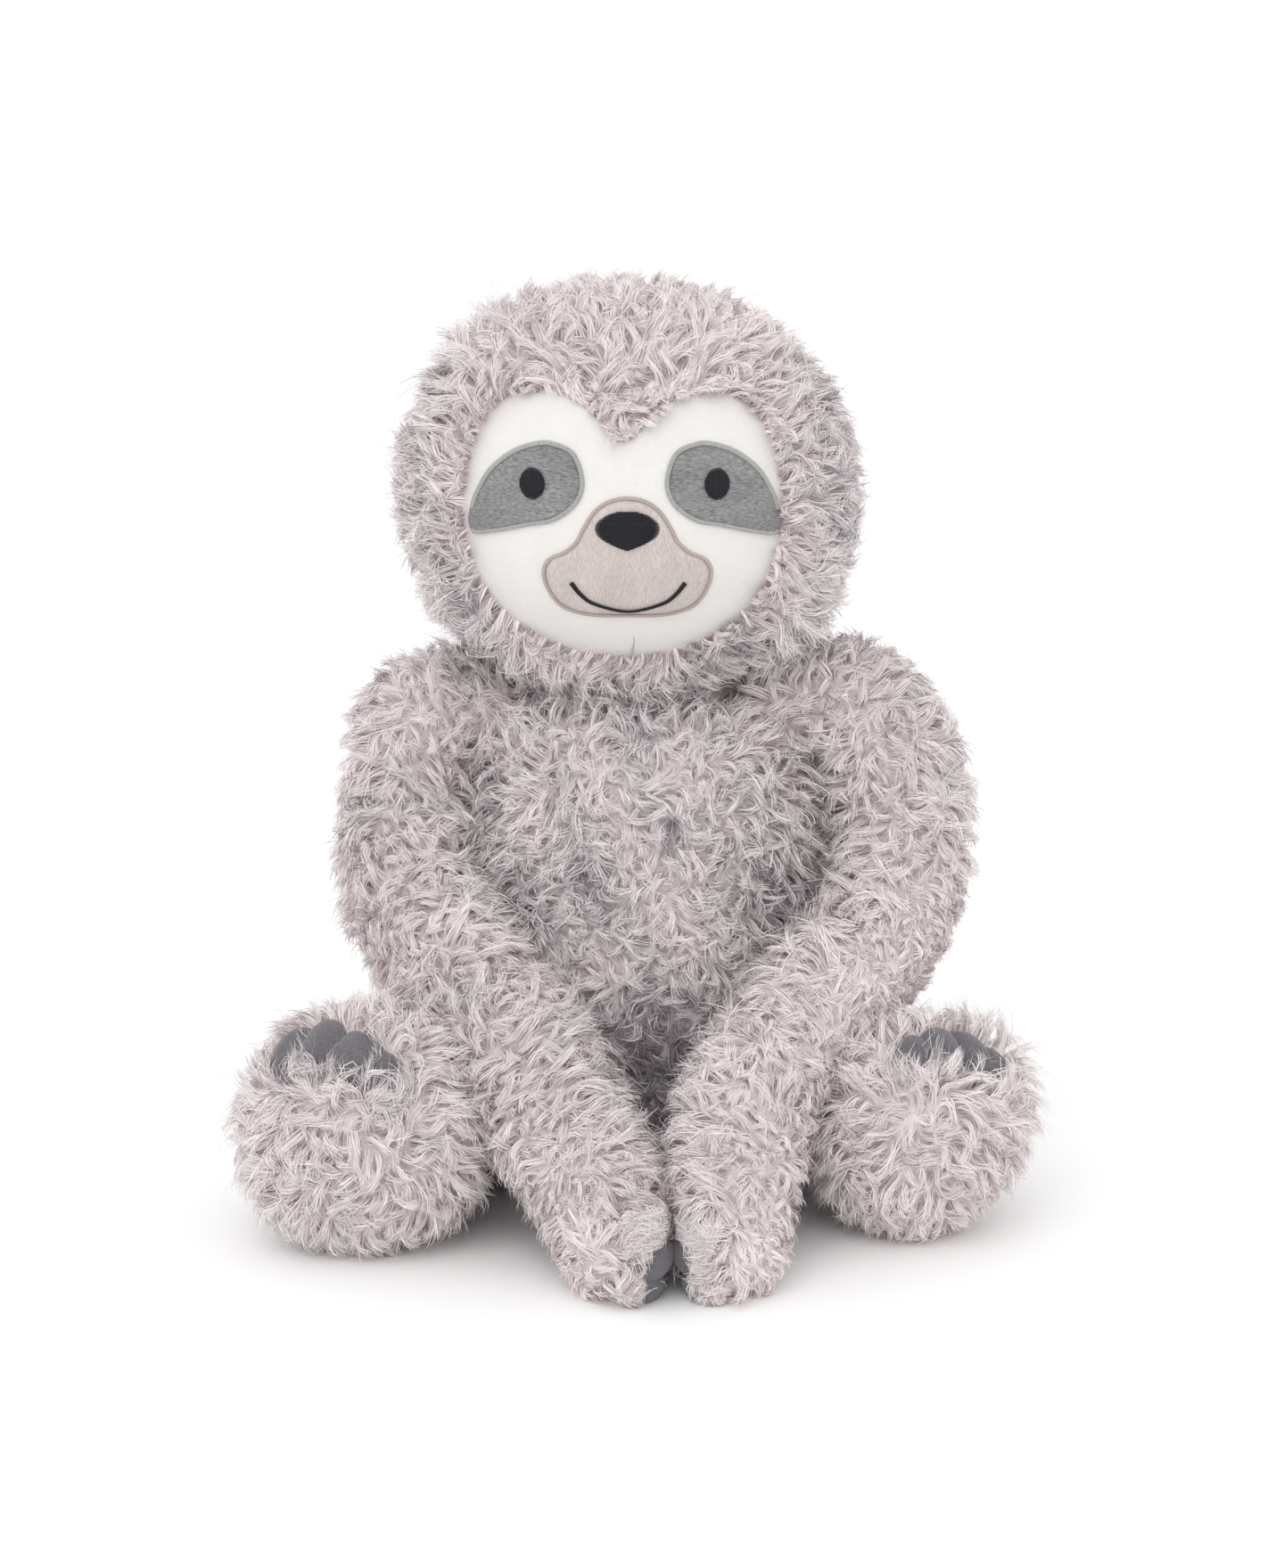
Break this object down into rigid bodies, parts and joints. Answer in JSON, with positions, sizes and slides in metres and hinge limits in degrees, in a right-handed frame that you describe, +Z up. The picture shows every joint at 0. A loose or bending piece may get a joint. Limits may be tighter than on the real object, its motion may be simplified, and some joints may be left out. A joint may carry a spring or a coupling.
{
  "type": "plush sloth",
  "caption": "Seated plush sloth with long drooping arms, curly mauve-grey fur, a white face with grey eye patches, a taupe muzzle and dark claws.",
  "frame": {"origin": "centre of the torso's flat base, on the surface the toy sits on", "axes": "+Z up, the face looks along -Y, +X towards the toy's own left"},
  "size_m": [0.2316, 0.1941, 0.281],
  "materials": {
    "fur": "long curly plush pile, matte",
    "stuffing": "loose polyester fibre, matte",
    "thread": "twisted polyester thread, slight sheen",
    "white": "short white plush, matte",
    "grey": "short grey plush, matte",
    "satin": "satin stitch, soft sheen",
    "taupe": "short taupe plush, matte",
    "brown": "satin stitch, soft sheen",
    "black": "black satin stitch, soft sheen",
    "dark": "short charcoal plush, matte"
  },
  "bodies": {
    "torso": {"torso_cover": "fur", "torso_stuffing": "stuffing"},
    "neck": {"neck_seam_thread": "thread"},
    "head": {"head_cover": "fur", "head_stuffing": "stuffing", "face_panel": "white", "eye_patch_left": "grey", "eye_patch_right": "grey", "eye_patch_stitching_left": "satin", "eye_patch_stitching_right": "satin", "eye_left": "black", "eye_right": "black", "muzzle": "taupe", "muzzle_stitching": "brown", "nose": "black", "mouth": "black"},
    "arm_left": {"arm_cover_left": "fur", "arm_stuffing_left": "stuffing", "hand_claws_left": "dark"},
    "leg_left": {"leg_cover_left": "fur", "leg_stuffing_left": "stuffing", "foot_cover_left": "fur", "foot_stuffing_left": "stuffing", "foot_claws_left": "dark"},
    "arm_right": {"arm_cover_right": "fur", "arm_stuffing_right": "stuffing", "hand_claws_right": "dark"},
    "leg_right": {"leg_cover_right": "fur", "leg_stuffing_right": "stuffing", "foot_cover_right": "fur", "foot_stuffing_right": "stuffing", "foot_claws_right": "dark"}
  },
  "joints": [
    {"name": "neck_nod", "type": "hinge", "parent": "torso", "child": "neck", "pos_m": [0, 0, 0.138], "axis": [1, 0, 0], "range_deg": [-10, 10], "stiffness_Nm_per_rad": 0.6},
    {"name": "head_turn", "type": "hinge", "parent": "neck", "child": "head", "pos_m": [0, 0, 0.138], "axis": [0, 0, 1], "range_deg": [-35, 35], "stiffness_Nm_per_rad": 0.25},
    {"name": "shoulder_left", "type": "hinge", "parent": "torso", "child": "arm_left", "pos_m": [0.038, 0, 0.15], "axis": [-1, 0, 0], "range_deg": [0, 90]},
    {"name": "hip_left", "type": "hinge", "parent": "torso", "child": "leg_left", "pos_m": [0.044, -0.008, 0.026], "axis": [1, 0, 0], "range_deg": [0, 80]},
    {"name": "shoulder_right", "type": "hinge", "parent": "torso", "child": "arm_right", "pos_m": [-0.038, 0, 0.15], "axis": [-1, 0, 0], "range_deg": [0, 90]},
    {"name": "hip_right", "type": "hinge", "parent": "torso", "child": "leg_right", "pos_m": [-0.044, -0.008, 0.026], "axis": [1, 0, 0], "range_deg": [0, 80]}
  ]
}
